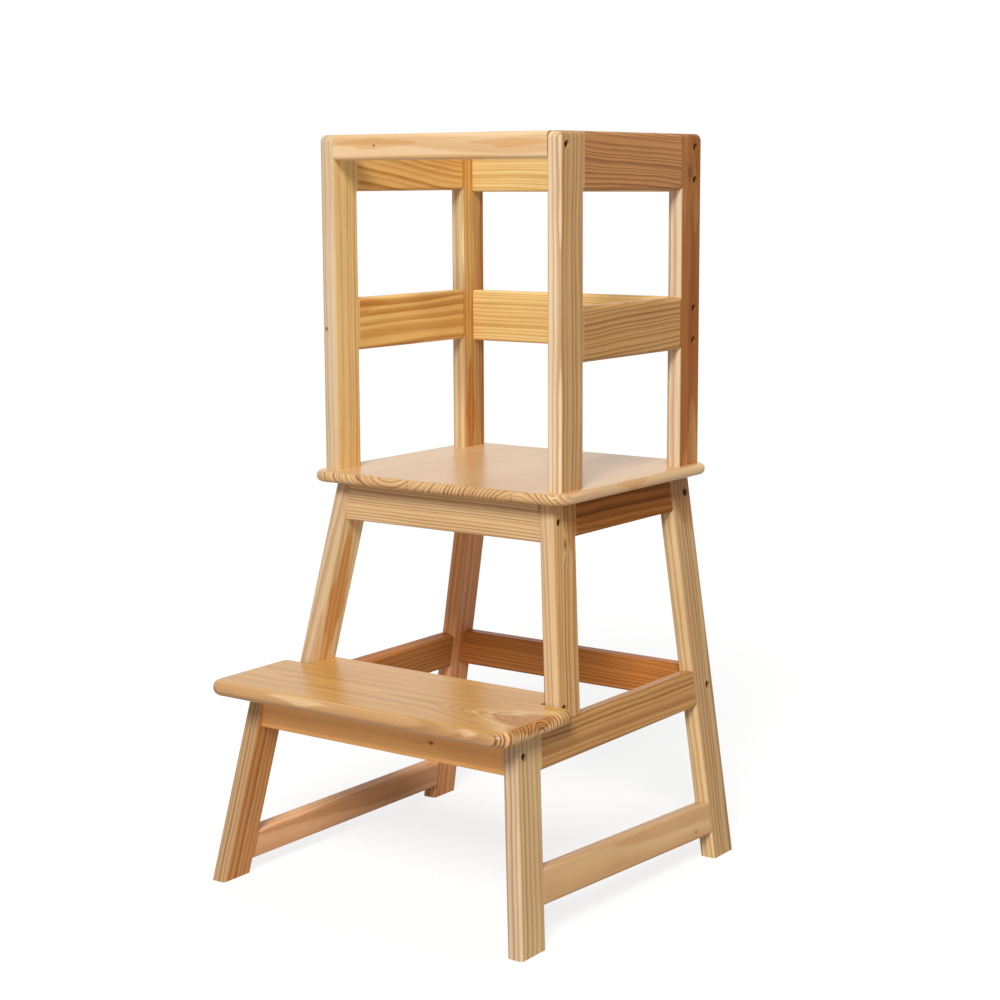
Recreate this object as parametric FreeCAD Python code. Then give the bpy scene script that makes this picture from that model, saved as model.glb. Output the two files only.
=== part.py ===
"""Toddler kitchen helper stool in pine: a stepped base with a guard cage on its platform.

The origin is at the floor, in the middle of the stool. +X is the child's right when facing
the cage from the step side, -Y is the step side and +Z is up. All sizes are in millimetres.

The base has two flat side frames that lean in. Each is drawn flat, with its outer face on
x = 0 and its height along z, and is then leaned in and moved out to its place. The right
frame is drawn, and the left one is mirrored. The cage's side frames are upright.
"""
import FreeCAD
import Part
import math
import os
from FreeCAD import Vector

# Whole stool
feet_width = 457.2                # across the outer faces of the feet, on the floor
feet_depth = 459.7                # front of the step legs to back of the rear legs, on the floor
total_height = 884.0
platform_top = 485.0
step_top = 251.3

# Leaning side frames of the base
side_lean = 8.5                   # degrees that each side frame leans in
leg_lean = 9.7                    # degrees that the front legs lean back
frame_thickness = 20.0
leg_width = 46.0
upper_leg_setback = 80.4          # from a step leg's front edge back to the upper front leg's
side_rail_height = 45.0
side_apron_height = 43.1
left_stretcher_height = 36.0
left_stretcher_front_rise = 19.7  # lower edge above the floor at the step leg
left_stretcher_rear_rise = 18.8   # lower edge above the floor at the rear leg
right_stretcher_height = 40.0
right_stretcher_front_rise = 46.9
right_stretcher_rear_rise = 31.4
frame_arris = 4.0                 # rounding of the frames' long edges

# Boards between the side frames
cross_apron_height = 46.6
cross_apron_thickness = 16.0
cross_arris = 2.5
step_apron_height = 45.8
step_apron_inset = 1.0            # behind the step legs' front edges
middle_back_rail_height = 44.8
middle_back_rail_thickness = 18.0
middle_back_rail_drop = 0.9       # below the side rails' tops
back_board_inset = 5.0            # rear faces of the back boards, inside the rear legs' backs

# Step board
step_thickness = 17.5
step_width = 428.4
step_front_overhang = 13.8        # in front of the feet
step_tongue_overhang = 3.6        # behind the upper front legs, between them
step_lip = 5.0                    # ends of the board reach back past the legs' fronts
step_front_corner = 18.5
step_rear_corner = 12.5
step_edge_radius = 7.9
step_notch_clearance = 0.5

# Platform board
platform_thickness = 13.0
platform_width = 370.0
platform_front_overhang = 17.7    # in front of the cage posts
platform_rear_overhang = 12.6     # behind the cage posts
platform_corner = 26.8
platform_edge_radius = 5.8

# Guard cage
cage_width = 345.2
cage_depth = 304.0
cage_rear_offset = 1.2            # the rear posts' backs stand this far behind the legs' backs
cage_thickness = 19.5
post_width = 47.5
cage_arris = 5.0
cage_corner = 8.5                 # rounding of the side frames' top corners, seen from the side
top_rail_height = 66.0
middle_rail_height = 62.8
middle_rail_rise = 142.5          # above the platform
back_rail_thickness = 19.0
back_rail_inset = 6.9             # inside the posts' rear edges
back_top_rail_height = 66.5
back_top_rail_drop = 1.8          # below the posts' tops
back_middle_rail_height = 64.8
back_middle_rail_rise = 139.2     # above the platform
back_rail_arris = 3.0
handrail_height = 30.0
handrail_thickness = 20.0
handrail_inset = 2.0              # behind the posts' front edges
handrail_arris = 5.0

# Bolts, all alike, with a hexagon socket in a recessed round head
bolt_head_radius = 4.4
bolt_head_height = 4.0
bolt_socket_width = 4.0
bolt_socket_depth = 2.5
bolt_shank_radius = 2.5
bolt_shank_length = 46.0
bolt_head_clearance = 0.3
bolt_recess = 7.0                 # depth of the counterbore in posts and legs
bolt_recess_platform = 4.3        # depth of the counterbore under the platform
bolt_bite_platform = 10.0         # thread in the platform from the cross aprons
back_rail_bolt_spacing = 38.6
post_foot_bolt_spacing = 24.0
platform_bolt_margin = 55.0       # from the side frames' inner faces
step_bolt_setback = 13.0          # behind the upper front leg's front edge

# Wooden dowels
dowel_radius = 4.0
frame_dowel_length = 40.0
leg_foot_dowel_length = 30.0
leg_foot_dowel_setback = 33.0     # behind the upper front leg's front edge
step_dowel_in_leg = 12.0
step_dowel_in_board = 10.0
step_dowel_setback = 11.5         # behind the step leg's front edge
rail_dowel_spacing = 22.0
stretcher_dowel_spacing = 16.0
cage_dowel_spacing = 32.0

# Fits
side_gap = 0.05                   # round a shank or a dowel in its bore
tip_gap = 1.0                     # past the end of a shank or a dowel

# Places that follow from the sizes above
LEAN_SIN = math.sin(math.radians(side_lean))
LEAN_COS = math.cos(math.radians(side_lean))
LEG_SLOPE = math.tan(math.radians(leg_lean))
LEG_SPAN = leg_width / math.cos(math.radians(leg_lean))
BEYOND = 60.0                     # boards are drawn longer by this and trimmed to the floor, step or platform
FAR = 1500.0

platform_underside = platform_top - platform_thickness
step_underside = step_top - step_thickness
frame_top = platform_underside / LEAN_COS
side_rail_top = step_underside / LEAN_COS
side_rail_bottom = side_rail_top - side_rail_height
side_apron_bottom = frame_top - side_apron_height

leg_back = feet_depth / 2
rear_leg_front = leg_back - leg_width
step_leg_foot = -feet_depth / 2
upper_leg_foot = step_leg_foot + upper_leg_setback

cage_back = leg_back + cage_rear_offset
cage_front = cage_back - cage_depth
cage_inner_x = cage_width / 2 - cage_thickness
back_rail_y = cage_back - back_rail_inset - back_rail_thickness / 2
handrail_y = cage_front + handrail_inset + handrail_thickness / 2

sides = ("left", "right")
boards = {}
bores = {}
fasteners = {}


def step_leg_front(height):
    """Y of a step leg's front edge at a height along its leaning frame."""
    return step_leg_foot + height * LEG_SLOPE


def upper_leg_front(height):
    """Y of an upper front leg's front edge at a height along its leaning frame."""
    return upper_leg_foot + height * LEG_SLOPE


def frame_inner_x(z):
    """X of the leaning frames' inner faces at a height above the floor."""
    return feet_width / 2 - (frame_thickness + z * LEAN_SIN) / LEAN_COS


def frame_outer_x(z):
    """X of the leaning frames' outer faces at a height above the floor."""
    return feet_width / 2 - z * LEAN_SIN / LEAN_COS


def leaned(shape, side):
    """Lean a shape drawn flat into the side frame's place, and mirror it for the left side."""
    moved = shape.copy()
    moved.rotate(Vector(0, 0, 0), Vector(0, 1, 0), -side_lean)
    moved.translate(Vector(feet_width / 2, 0, 0))
    if side == "left":
        moved = moved.mirror(Vector(0, 0, 0), Vector(1, 0, 0))
    return moved


def upright(shape, side):
    """Move a shape drawn flat out to the cage's side, and mirror it for the left side."""
    moved = shape.copy()
    moved.translate(Vector(cage_width / 2, 0, 0))
    if side == "left":
        moved = moved.mirror(Vector(0, 0, 0), Vector(1, 0, 0))
    return moved


def layer(z_low, z_high):
    """Wide block between two heights, which trims leaning boards level."""
    return Part.makeBox(2 * FAR, 2 * FAR, z_high - z_low, Vector(-FAR, -FAR, z_low))


def flat_board(corners, thickness):
    """Board with the given (y, z) corners, its outer face on x = 0."""
    points = [Vector(0, y, z) for y, z in corners]
    face = Part.Face(Part.makePolygon(points + [points[0]]))
    return face.extrude(Vector(-thickness, 0, 0))


def swept_section(start, end, corners_and_arcs):
    """Sweep a section along a line of the frame's plane, well past both of its ends.

    Each item is one corner (across, x) or an arc's two ends and middle. Across counts
    outwards, to the right of the way from start to end.
    """
    along = Vector(0, end[0] - start[0], end[1] - start[1]).normalize()
    across = Vector(0, along.z, -along.y)
    base = Vector(0, start[0], start[1]) - along * FAR

    def at(point):
        return base + across * point[0] + Vector(point[1], 0, 0)

    edges = []
    for item in corners_and_arcs:
        if len(item) == 3:
            edges.append(Part.Arc(at(item[0]), at(item[1]), at(item[2])).toShape())
        else:
            edges.append(Part.LineSegment(at(item[0]), at(item[1])).toShape())
    return Part.Face(Part.Wire(edges)).extrude(along * (2 * FAR))


def rounded_opening(corners, thickness, radius):
    """Cutter for an opening whose rim is rounded on both faces of the frame.

    The corners run anticlockwise seen from outside. The rounding runs out to a point
    at each corner, as a cutter leaves it in an assembled frame.
    """
    r = radius
    t = thickness
    d = r * (1 - math.sqrt(0.5))
    section = [
        ((-FAR, 1.0), (r, 1.0)),
        ((r, 1.0), (r, 0.0)),
        ((r, 0.0), (d, -d), (0.0, -r)),
        ((0.0, -r), (0.0, r - t)),
        ((0.0, r - t), (d, d - t), (r, -t)),
        ((r, -t), (r, -t - 1.0)),
        ((r, -t - 1.0), (-FAR, -t - 1.0)),
        ((-FAR, -t - 1.0), (-FAR, 1.0)),
    ]
    count = len(corners)
    walls = [swept_section(corners[i], corners[(i + 1) % count], section) for i in range(count)]
    opening = walls[0]
    for wall in walls[1:]:
        opening = opening.common(wall)
    return opening


def round_edges(shape, radius, wanted):
    """Round the straight edges whose two ends both pass the given test."""
    edges = [edge for edge in shape.Edges if all(wanted(vertex.Point) for vertex in edge.Vertexes)]
    return shape.makeFillet(radius, edges)


def near(value, target):
    """True where two places are the same to a hundredth of a millimetre."""
    return abs(value - target) < 0.01


def bullnosed_slab(x_half, y_low, y_high, z_low, thickness, front_corner, rear_corner, edge_radius):
    """Level board with rounded corners, and with its edges rounded above and below."""
    slab = Part.makeBox(2 * x_half, y_high - y_low, thickness, Vector(-x_half, y_low, z_low))
    uprights = [edge for edge in slab.Edges if near(edge.Vertexes[0].X, edge.Vertexes[-1].X)
                and near(edge.Vertexes[0].Y, edge.Vertexes[-1].Y)]
    fronts = [edge for edge in uprights if near(edge.Vertexes[0].Y, y_low)]
    slab = slab.makeFillet(front_corner, fronts)
    rears = [edge for edge in slab.Edges if len(edge.Vertexes) == 2
             and near(edge.Vertexes[0].Y, y_high) and near(edge.Vertexes[1].Y, y_high)
             and near(edge.Vertexes[0].X, edge.Vertexes[1].X)]
    slab = slab.makeFillet(rear_corner, rears)
    z_high = z_low + thickness
    rims = [edge for edge in slab.Edges
            if all(near(vertex.Z, z_low) for vertex in edge.Vertexes)
            or all(near(vertex.Z, z_high) for vertex in edge.Vertexes)]
    return slab.makeFillet(edge_radius, rims)


def cross_board(y_front, thickness, z_low, z_high):
    """Upright board between the leaning frames, its ends cut to their inner faces."""
    low = frame_inner_x(z_low)
    high = frame_inner_x(z_high)
    points = [Vector(-low, y_front, z_low), Vector(low, y_front, z_low),
              Vector(high, y_front, z_high), Vector(-high, y_front, z_high)]
    face = Part.Face(Part.makePolygon(points + [points[0]]))
    return face.extrude(Vector(0, thickness, 0))


def bolt(seat, inward):
    """Bolt whose head sits on the seat point, with its shank pointing inward."""
    outer = seat - inward * bolt_head_height
    head = Part.makeCylinder(bolt_head_radius, bolt_head_height, outer, inward)
    shank = Part.makeCylinder(bolt_shank_radius, bolt_shank_length + bolt_head_height / 2,
                              seat - inward * (bolt_head_height / 2), inward)
    across = inward.cross(Vector(0, 1, 0)).normalize()
    beside = inward.cross(across)
    corner = bolt_socket_width / math.sqrt(3)
    ring = [outer - inward + across * (corner * math.cos(math.radians(60 * i)))
            + beside * (corner * math.sin(math.radians(60 * i))) for i in range(6)]
    socket = Part.Face(Part.makePolygon(ring + [ring[0]])).extrude(inward * (bolt_socket_depth + 1.0))
    return head.fuse(shank).cut(socket).removeSplitter()


def bolt_bore(seat, inward, recess):
    """Counterbore from the face to the seat, and the bore for the shank."""
    mouth = Part.makeCylinder(bolt_head_radius + bolt_head_clearance, recess + 1.0,
                              seat - inward * (recess + 1.0), inward)
    bore = Part.makeCylinder(bolt_shank_radius + side_gap, bolt_shank_length + tip_gap + 0.5,
                             seat - inward * 0.5, inward)
    return mouth.fuse(bore)


def add_bolt(group, face_point, inward, recess, names, move=None):
    """Put a bolt in the group, and its bore in each of the named boards."""
    seat = face_point + inward * recess
    solid = bolt(seat, inward)
    bore = bolt_bore(seat, inward, recess)
    if move:
        solid = move(solid)
        bore = move(bore)
    fasteners.setdefault(group, []).append(solid)
    for name in names:
        bores.setdefault(name, []).append(bore)


def add_dowel(group, joint, along, before, after, names, move=None):
    """Put a dowel across a joint, seated at its far end, and its bore in the named boards."""
    start = joint - along * before
    solid = Part.makeCylinder(dowel_radius, before + after, start, along)
    bore = Part.makeCylinder(dowel_radius + side_gap, before + after + tip_gap,
                             start - along * tip_gap, along)
    if move:
        solid = move(solid)
        bore = move(bore)
    fasteners.setdefault(group, []).append(solid)
    for name in names:
        bores.setdefault(name, []).append(bore)


def base_side_frame(side):
    """One leaning side frame: three legs, the side rail, the upper apron and the stretcher."""
    if side == "left":
        height = left_stretcher_height
        front_rise = left_stretcher_front_rise
        rear_rise = left_stretcher_rear_rise
    else:
        height = right_stretcher_height
        front_rise = right_stretcher_front_rise
        rear_rise = right_stretcher_rear_rise
    low = -BEYOND
    high = frame_top + BEYOND

    def step_back(level):
        return step_leg_front(level) + LEG_SPAN

    def upper_back(level):
        return upper_leg_front(level) + LEG_SPAN

    upper_window = [(upper_back(side_rail_top), side_rail_top), (rear_leg_front, side_rail_top),
                    (rear_leg_front, side_apron_bottom), (upper_back(side_apron_bottom), side_apron_bottom)]
    lower_window = [(step_back(front_rise + height), front_rise + height),
                    (rear_leg_front, rear_rise + height),
                    (rear_leg_front, side_rail_bottom), (step_back(side_rail_bottom), side_rail_bottom)]
    floor_gap = [(step_back(low), low), (rear_leg_front, low),
                 (rear_leg_front, rear_rise), (step_back(front_rise), front_rise)]
    openings = [rounded_opening(corners, frame_thickness, frame_arris)
                for corners in (upper_window, lower_window, floor_gap)]

    rear_leg = flat_board([(rear_leg_front, low), (leg_back, low), (leg_back, high),
                           (rear_leg_front, high)], frame_thickness)
    rear_leg = round_edges(rear_leg, frame_arris, lambda point: near(point.y, leg_back))
    rear_leg = rear_leg.common(flat_board([(rear_leg_front, low + 1), (leg_back, low + 1),
                                           (leg_back, high - 1), (rear_leg_front, high - 1)],
                                          frame_thickness))

    def front_leg(front, bottom, top):
        board = flat_board([(front(bottom), bottom), (front(bottom) + LEG_SPAN, bottom),
                            (front(top) + LEG_SPAN, top), (front(top), top)], frame_thickness)
        return round_edges(board, frame_arris, lambda point: near(point.y, front(point.z)))

    upper_leg = front_leg(upper_leg_front, side_rail_top - BEYOND, high)
    step_leg = front_leg(step_leg_front, low, side_rail_top + BEYOND)
    rail_high = side_rail_top + BEYOND
    side_rail = flat_board([(step_back(side_rail_bottom), side_rail_bottom),
                            (rear_leg_front, side_rail_bottom), (rear_leg_front, rail_high),
                            (step_back(rail_high), rail_high)], frame_thickness)
    upper_apron = flat_board([(upper_back(side_apron_bottom), side_apron_bottom),
                              (rear_leg_front, side_apron_bottom), (rear_leg_front, high),
                              (upper_back(high), high)], frame_thickness)
    stretcher = flat_board([(step_back(front_rise), front_rise), (rear_leg_front, rear_rise),
                            (rear_leg_front, rear_rise + height),
                            (step_back(front_rise + height), front_rise + height)], frame_thickness)

    under_platform = layer(0, platform_underside)
    under_step = layer(0, step_underside)
    on_rail = layer(step_underside, platform_underside)
    pieces = {
        "rear_leg": (rear_leg, under_platform),
        "upper_front_leg": (upper_leg, on_rail),
        "step_leg": (step_leg, under_step),
        "side_rail": (side_rail, under_step),
        "upper_apron": (upper_apron, under_platform),
        "bottom_stretcher": (stretcher, under_platform),
    }
    for name, (board, trim) in pieces.items():
        rounded = board.cut(openings)
        boards[name + "_" + side] = leaned(rounded, side).common(trim)


def base_frame_dowels(side):
    """Glued dowels in one leaning side frame, two in each joint and one under the upper leg."""
    if side == "left":
        height = left_stretcher_height
        front_rise = left_stretcher_front_rise
        rear_rise = left_stretcher_rear_rise
    else:
        height = right_stretcher_height
        front_rise = right_stretcher_front_rise
        rear_rise = right_stretcher_rear_rise
    middle = -frame_thickness / 2
    half = frame_dowel_length / 2
    rail_level = (side_rail_top + side_rail_bottom) / 2
    apron_level = (frame_top + side_apron_bottom) / 2

    def move(shape):
        return leaned(shape, side)

    joints = [
        (step_leg_front, rail_level, rail_dowel_spacing, ("step_leg_", "side_rail_")),
        (None, rail_level, rail_dowel_spacing, ("rear_leg_", "side_rail_")),
        (upper_leg_front, apron_level, rail_dowel_spacing, ("upper_front_leg_", "upper_apron_")),
        (None, apron_level, rail_dowel_spacing, ("rear_leg_", "upper_apron_")),
        (step_leg_front, front_rise + height / 2, stretcher_dowel_spacing,
         ("step_leg_", "bottom_stretcher_")),
        (None, rear_rise + height / 2, stretcher_dowel_spacing, ("rear_leg_", "bottom_stretcher_")),
    ]
    for front, level, spacing, names in joints:
        for sign in (-1, 1):
            z = level + sign * spacing / 2
            y = front(z) + LEG_SPAN if front else rear_leg_front
            along = Vector(0, 1, 0)
            add_dowel("base_frame_dowels", Vector(middle, y, z), along, half, half,
                      [name + side for name in names], move)
    foot = Vector(middle, upper_leg_front(side_rail_top) + leg_foot_dowel_setback, side_rail_top)
    half = leg_foot_dowel_length / 2
    add_dowel("base_frame_dowels", foot, Vector(0, 0, 1), half, half,
              ["upper_front_leg_" + side, "side_rail_" + side], move)


def base_cross_boards():
    """Aprons and the middle back rail between the leaning frames, and their bolts."""
    apron_front_y = upper_leg_front(frame_top)
    apron_bottom = platform_underside - cross_apron_height
    step_apron_y = step_leg_front(side_rail_top) + step_apron_inset
    step_apron_bottom = step_underside - step_apron_height
    back_y = leg_back - back_board_inset
    rail_top = step_underside - middle_back_rail_drop
    rail_bottom = rail_top - middle_back_rail_height
    rail_y = back_y - middle_back_rail_thickness
    back_apron_y = back_y - cross_apron_thickness

    def lower_edges(shape, level):
        edges = [edge for edge in shape.Edges
                 if all(near(vertex.Z, level) for vertex in edge.Vertexes)
                 and near(edge.Vertexes[0].Y, edge.Vertexes[1].Y)]
        return shape.makeFillet(cross_arris, edges)

    boards["upper_apron_front"] = lower_edges(
        cross_board(apron_front_y, cross_apron_thickness, apron_bottom, platform_underside),
        apron_bottom)
    boards["upper_apron_back"] = lower_edges(
        cross_board(back_apron_y, cross_apron_thickness, apron_bottom, platform_underside),
        apron_bottom)
    boards["step_apron"] = lower_edges(
        cross_board(step_apron_y, cross_apron_thickness, step_apron_bottom, step_underside),
        step_apron_bottom)
    rail = cross_board(rail_y, middle_back_rail_thickness, rail_bottom, rail_top)
    boards["back_rail_middle"] = lower_edges(lower_edges(rail, rail_bottom), rail_top)

    half = cross_apron_thickness / 2
    apron_level = (apron_bottom + platform_underside) / 2
    places = [
        (apron_front_y + half, apron_level, "upper_front_leg_", "upper_apron_front"),
        (back_apron_y + half, apron_level, "rear_leg_", "upper_apron_back"),
        (rail_y + middle_back_rail_thickness / 2, (rail_bottom + rail_top) / 2,
         "rear_leg_", "back_rail_middle"),
        (step_apron_y + half, (step_apron_bottom + step_underside) / 2, "step_leg_", "step_apron"),
    ]
    for side in sides:
        for y, z, leg, board in places:
            add_bolt("base_bolts", Vector(0, y, z / LEAN_COS), Vector(-1, 0, 0), bolt_recess,
                     [leg + side, board], lambda shape: leaned(shape, side))

    recess = cross_apron_height + bolt_bite_platform - bolt_shank_length
    for sign in (-1, 1):
        x = sign * (frame_inner_x(apron_bottom) - platform_bolt_margin)
        for y, board in ((apron_front_y + half, "upper_apron_front"),
                         (back_apron_y + half, "upper_apron_back")):
            add_bolt("platform_bolts", Vector(x, y, apron_bottom), Vector(0, 0, 1), recess,
                     [board, "platform_board"])


def step():
    """Step board, notched round the upper front legs, with its bolts and dowels."""
    notch_y = upper_leg_front(side_rail_top) - step_notch_clearance
    front = step_leg_foot - step_front_overhang
    rear = notch_y + step_lip
    tongue_x = frame_inner_x(step_top) - step_notch_clearance
    tongue_back = upper_leg_front(side_rail_top) + LEG_SPAN + step_tongue_overhang
    notch_x = frame_outer_x(step_underside) + step_notch_clearance

    ends = bullnosed_slab(step_width / 2, front, rear, step_underside, step_thickness,
                          step_front_corner, step_rear_corner, step_edge_radius)
    tongue = Part.makeBox(2 * tongue_x, tongue_back - notch_y + step_front_corner, step_thickness,
                          Vector(-tongue_x, notch_y - step_front_corner, step_underside))
    tongue = round_edges(tongue, step_edge_radius,
                         lambda point: near(point.y, tongue_back)
                         and (near(point.z, step_top) or near(point.z, step_underside)))
    board = ends.fuse(tongue)
    for sign in (-1, 1):
        low = min(sign * tongue_x, sign * notch_x)
        notch = Part.makeBox(notch_x - tongue_x, FAR, step_thickness + 2,
                             Vector(low, notch_y, step_underside - 1))
        board = board.cut(notch)
    boards["step_board"] = board.removeSplitter()

    bolt_z = (step_underside + step_top) / 2
    bolt_level = (bolt_z + frame_thickness * LEAN_SIN) / LEAN_COS
    bolt_y = upper_leg_front(bolt_level) + step_bolt_setback
    dowel_y = step_leg_front(side_rail_top) + step_dowel_setback
    dowel_x = (frame_outer_x(step_underside) + frame_inner_x(step_underside)) / 2
    for side in sides:
        add_bolt("step_board_bolts", Vector(0, bolt_y, bolt_level), Vector(-1, 0, 0), bolt_recess,
                 ["upper_front_leg_" + side, "step_board"], lambda shape: leaned(shape, side))
        sign = -1 if side == "left" else 1
        add_dowel("step_board_dowels", Vector(sign * dowel_x, dowel_y, step_underside),
                  Vector(0, 0, 1), step_dowel_in_leg, step_dowel_in_board,
                  ["step_leg_" + side, "step_board"])


def platform():
    """Platform board, which carries the cage and lies on the base."""
    boards["platform_board"] = bullnosed_slab(
        platform_width / 2, cage_front - platform_front_overhang, cage_back + platform_rear_overhang,
        platform_underside, platform_thickness, platform_corner, platform_corner,
        platform_edge_radius)


def cage_side_frame(side):
    """One upright side of the cage: two posts, a top rail and a middle rail, doweled."""
    front_inner = cage_front + post_width
    rear_inner = cage_back - post_width
    top_low = total_height - top_rail_height
    middle_low = platform_top + middle_rail_rise
    middle_high = middle_low + middle_rail_height
    below = platform_top - BEYOND
    plan = flat_board([(cage_front, below), (cage_back, below), (cage_back, total_height),
                       (cage_front, total_height)], cage_thickness)
    slab = round_rims(round_corners(plan), below)
    openings = [
        rounded_opening([(front_inner, middle_high), (rear_inner, middle_high),
                         (rear_inner, top_low), (front_inner, top_low)], cage_thickness, cage_arris),
        rounded_opening([(front_inner, below), (rear_inner, below),
                         (rear_inner, middle_low), (front_inner, middle_low)],
                        cage_thickness, cage_arris),
    ]
    spans = {
        "cage_post_front": (cage_front, front_inner, platform_top, total_height),
        "cage_post_rear": (rear_inner, cage_back, platform_top, total_height),
        "cage_top_rail": (front_inner, rear_inner, top_low, total_height),
        "cage_middle_rail": (front_inner, rear_inner, middle_low, middle_high),
    }
    for name, (y_low, y_high, z_low, z_high) in spans.items():
        blank = flat_board([(y_low, z_low), (y_high, z_low), (y_high, z_high), (y_low, z_high)],
                           cage_thickness)
        boards[name + "_" + side] = upright(blank.common(slab).cut(openings), side)

    half = frame_dowel_length / 2
    for rail, level in (("cage_top_rail_", (top_low + total_height) / 2),
                        ("cage_middle_rail_", (middle_low + middle_high) / 2)):
        for y, post in ((front_inner, "cage_post_front_"), (rear_inner, "cage_post_rear_")):
            for sign in (-1, 1):
                z = level + sign * cage_dowel_spacing / 2
                add_dowel("cage_frame_dowels", Vector(-cage_thickness / 2, y, z), Vector(0, 1, 0),
                          half, half, [rail + side, post + side],
                          lambda shape: upright(shape, side))


def round_corners(plan):
    """Round the two top corners of the cage side's outline."""
    edges = [edge for edge in plan.Edges
             if all(near(vertex.Z, total_height) for vertex in edge.Vertexes)
             and near(edge.Vertexes[0].Y, edge.Vertexes[1].Y)]
    return plan.makeFillet(cage_corner, edges)


def round_rims(plan, below):
    """Round the cage side's outline on both faces, and leave its lower ends square."""
    rims = [edge for edge in plan.Edges
            if near(edge.Vertexes[0].X, edge.Vertexes[-1].X)
            and not all(near(vertex.Z, below) for vertex in edge.Vertexes)]
    return plan.makeFillet(cage_arris, rims)


def cage_cross_rails():
    """Handrail in front and two rails at the back, bolted through the posts."""
    def rail(y_centre, thickness, z_low, z_high, arris):
        box = Part.makeBox(2 * cage_inner_x, thickness, z_high - z_low,
                           Vector(-cage_inner_x, y_centre - thickness / 2, z_low))
        edges = [edge for edge in box.Edges if near(edge.Length, 2 * cage_inner_x)]
        return box.makeFillet(arris, edges)

    handrail_low = total_height - handrail_height
    top_high = total_height - back_top_rail_drop
    top_low = top_high - back_top_rail_height
    middle_low = platform_top + back_middle_rail_rise
    middle_high = middle_low + back_middle_rail_height
    boards["cage_handrail_front"] = rail(handrail_y, handrail_thickness, handrail_low,
                                         total_height, handrail_arris)
    boards["cage_top_rail_back"] = rail(back_rail_y, back_rail_thickness, top_low, top_high,
                                        back_rail_arris)
    boards["cage_middle_rail_back"] = rail(back_rail_y, back_rail_thickness, middle_low,
                                           middle_high, back_rail_arris)

    half = back_rail_bolt_spacing / 2
    top_level = (top_low + top_high) / 2
    middle_level = (middle_low + middle_high) / 2
    places = [(handrail_y, handrail_low + handrail_height / 2, "cage_post_front_",
               "cage_handrail_front")]
    for level, board in ((top_level, "cage_top_rail_back"), (middle_level, "cage_middle_rail_back")):
        for sign in (-1, 1):
            places.append((back_rail_y, level + sign * half, "cage_post_rear_", board))
    for side in sides:
        for y, z, post, board in places:
            add_bolt("cage_bolts", Vector(0, y, z), Vector(-1, 0, 0), bolt_recess,
                     [post + side, board], lambda shape: upright(shape, side))


def post_feet():
    """Bolts up through the platform into the four posts."""
    x = cage_width / 2 - cage_thickness / 2
    centres = (("front", cage_front + post_width / 2), ("rear", cage_back - post_width / 2))
    for side, x_sign in (("left", -1), ("right", 1)):
        for end, y_centre in centres:
            for y_sign in (-1, 1):
                y = y_centre + y_sign * post_foot_bolt_spacing / 2
                add_bolt("post_foot_bolts", Vector(x_sign * x, y, platform_underside),
                         Vector(0, 0, 1), bolt_recess_platform,
                         ["platform_board", "cage_post_" + end + "_" + side])


def export_all():
    """Bore the boards, and write one file per board and one per group of fasteners."""
    os.makedirs("parts", exist_ok=True)
    for name, board in boards.items():
        if name in bores:
            board = board.cut(bores[name])
        solid = board.Solids[0]
        print(name, len(board.Solids), round(solid.Volume), solid.isValid())
        solid.exportStep("parts/" + name + ".step")
    for name, solids in fasteners.items():
        group = Part.makeCompound(solids)
        print(name, len(group.Solids), round(group.Volume), group.isValid())
        group.exportStep("parts/" + name + ".step")


for frame_side in sides:
    base_side_frame(frame_side)
    base_frame_dowels(frame_side)
    cage_side_frame(frame_side)
base_cross_boards()
step()
platform()
cage_cross_rails()
post_feet()
export_all()
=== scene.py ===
"""Pine toddler helper stool: wood finishes, recessed bolts, studio light and camera.

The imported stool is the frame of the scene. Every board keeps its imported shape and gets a
finish of solid pine: growth rings round the log's heart, as the board was sawn from it, so
that the lines on its faces, edges and ends belong together. All lengths are in metres,
apart from the sizes of the grain, which are in millimetres.
"""
import logging
import math
from dataclasses import dataclass, field
from enum import Enum
from typing import Dict, List, Optional, Sequence, Tuple, Union

import bpy
from bpy.types import Material, Mesh, Node, NodeInputs, NodeOutputs, NodeTree
from bpy.types import NodeSocket as Socket
from mathutils import Matrix, Vector


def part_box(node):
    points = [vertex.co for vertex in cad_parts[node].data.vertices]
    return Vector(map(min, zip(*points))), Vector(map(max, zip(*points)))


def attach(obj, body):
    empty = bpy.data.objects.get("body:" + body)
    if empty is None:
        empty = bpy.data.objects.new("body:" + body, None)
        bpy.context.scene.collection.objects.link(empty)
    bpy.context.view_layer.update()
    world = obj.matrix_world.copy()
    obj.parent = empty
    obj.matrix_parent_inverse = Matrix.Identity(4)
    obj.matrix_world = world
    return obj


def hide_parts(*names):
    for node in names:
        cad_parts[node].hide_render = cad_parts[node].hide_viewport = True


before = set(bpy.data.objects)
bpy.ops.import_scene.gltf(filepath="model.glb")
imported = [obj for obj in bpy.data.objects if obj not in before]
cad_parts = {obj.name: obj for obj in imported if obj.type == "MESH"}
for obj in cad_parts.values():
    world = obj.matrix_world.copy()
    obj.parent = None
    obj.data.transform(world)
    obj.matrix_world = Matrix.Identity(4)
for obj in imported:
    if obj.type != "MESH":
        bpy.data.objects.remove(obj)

log = logging.getLogger("helper_stool")

Colour = Tuple[float, float, float, float]
Pair = Tuple[float, float]
Triple = Tuple[float, float, float]
Feed = Union[Socket, float, Tuple[float, ...], None]

SIDE_LEAN = math.radians(8.5)
LEG_LEAN = math.radians(9.7)
MM = 0.001


def srgb(steps: Triple) -> Colour:
    """Turn a colour of 0 to 255 steps into the renderer's linear values.

    Args:
        steps: Red, green and blue steps.

    Returns:
        Linear colour with full alpha.
    """
    def linear(step: float) -> float:
        """Turn one step into its linear value."""
        value = step / 255.0
        return value / 12.92 if value <= 0.04045 else ((value + 0.055) / 1.055) ** 2.4

    return (*map(linear, steps), 1.0)


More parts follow.
